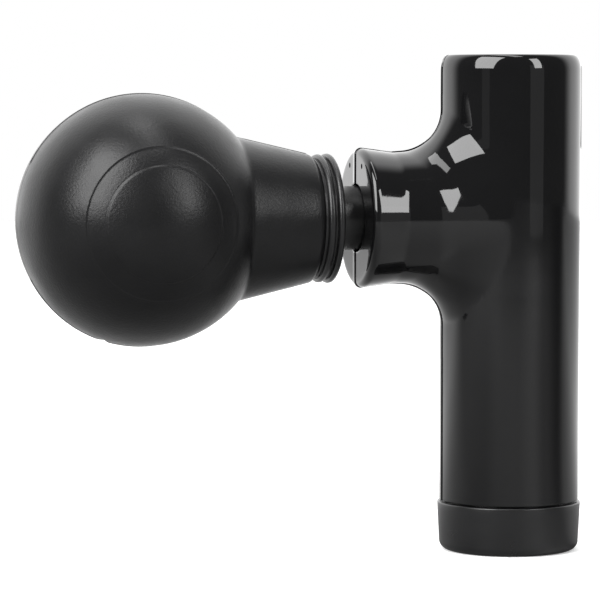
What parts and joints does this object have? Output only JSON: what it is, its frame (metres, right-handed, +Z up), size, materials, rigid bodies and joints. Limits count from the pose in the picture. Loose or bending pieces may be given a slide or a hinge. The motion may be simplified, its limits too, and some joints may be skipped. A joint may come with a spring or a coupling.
{
  "type": "massage gun",
  "caption": "Compact percussion massage gun: T-shaped gloss casing with a round grip, end cap, crank-driven piston in the barrel and a pull-off ball head.",
  "frame": {"origin": "centre of the end cap's flat bottom face", "axes": "+Z up along the handle's axis; the barrel and the head point along -X; +Y is the right-hand side as the user holds it"},
  "size_m": [0.1627, 0.07, 0.1414],
  "materials": {
    "gloss_shell": "high-gloss black ABS",
    "panel_plastic": "gloss black",
    "cap_plastic": "satin black",
    "button_rubber": "soft-touch dark grey",
    "lens": "frosted clear",
    "ball_rubber": "satin moulded rubber",
    "head_plastic": "satin black",
    "o_ring": "smooth",
    "damper_rubber": "matte",
    "screw_steel": "zinc plated",
    "ground_steel": "ground",
    "wheel_steel": "machined",
    "lamination": "stacked laminations",
    "magnet": "nickel plated",
    "copper_wire": "enamelled copper",
    "brass_weight": "machined brass",
    "bronze": "sintered bronze",
    "machined_aluminium": "machined",
    "sleeve_plastic": "natural acetal",
    "board_green": "solder mask",
    "chip_black": "moulded epoxy",
    "led_white": "diffuse",
    "tin_can": "stamped",
    "cell_sleeve": "shrink-sleeved cell",
    "holder_plastic": "moulded",
    "nickel_strip": "nickel",
    "foam": "closed-cell foam",
    "lead_red": "silicone insulation",
    "lead_black": "silicone insulation"
  },
  "bodies": {
    "housing": {"left_shell": "gloss_shell", "right_shell": "gloss_shell", "end_cap": "cap_plastic", "shell_screws": "screw_steel", "cap_screws": "screw_steel", "control_panel": "panel_plastic", "led_lenses": "lens", "control_board": "board_green", "driver_chips": "chip_black", "speed_leds": "led_white", "tact_switch": "tin_can", "charge_board": "board_green", "usb_socket": "tin_can", "battery_cells": "cell_sleeve", "cell_holders": "holder_plastic", "cell_tabs": "nickel_strip", "battery_foam": "foam", "motor_mount": "machined_aluminium", "mount_screws": "screw_steel", "stator_core": "lamination", "stator_windings": "copper_wire", "motor_bearings": "ground_steel", "motor_leads": "lead_red", "battery_leads": "lead_black", "guide_sleeve": "sleeve_plastic", "damper_rings": "damper_rubber"},
    "rotor": {"rotor_bell": "wheel_steel", "rotor_magnets": "magnet", "motor_shaft": "ground_steel", "shaft_clip": "ground_steel", "crank_wheel": "wheel_steel", "counterweight": "brass_weight"},
    "piston_body": {"piston": "machined_aluminium", "wrist_pin": "ground_steel"},
    "rod": {"connecting_rod": "machined_aluminium", "big_end_bearing": "ground_steel", "small_end_bush": "bronze", "crank_pin": "ground_steel"},
    "massage_head": {"head_plug": "head_plastic", "plug_o_rings": "o_ring", "plug_screw": "screw_steel", "collar_disc": "head_plastic", "clamp_ring": "head_plastic", "neck_core": "head_plastic", "massage_ball": "ball_rubber"},
    "button": {"power_button": "button_rubber", "switch_plunger": "ground_steel"}
  },
  "joints": [
    {"name": "rotor_spin", "type": "hinge", "parent": "housing", "child": "rotor", "pos_m": [0.0015, 0, 0.0954], "axis": [0, 1, 0], "continuous": true},
    {"name": "piston_stroke", "type": "slide", "parent": "housing", "child": "piston_body", "axis": [-1, 0, 0], "range_m": [0, 0.006]},
    {"name": "rod_swing", "type": "hinge", "parent": "piston_body", "child": "rod", "pos_m": [-0.0155, 0, 0.0954], "axis": [0, 1, 0], "range_deg": [-8.6, 8.6]},
    {"name": "head_pull_off", "type": "slide", "parent": "piston_body", "child": "massage_head", "axis": [-1, 0, 0], "range_m": [0, 0.026]},
    {"name": "button_press", "type": "slide", "parent": "housing", "child": "button", "axis": [-1, 0, 0], "range_m": [0, 0.0006], "stiffness_N_per_m": 2000}
  ]
}
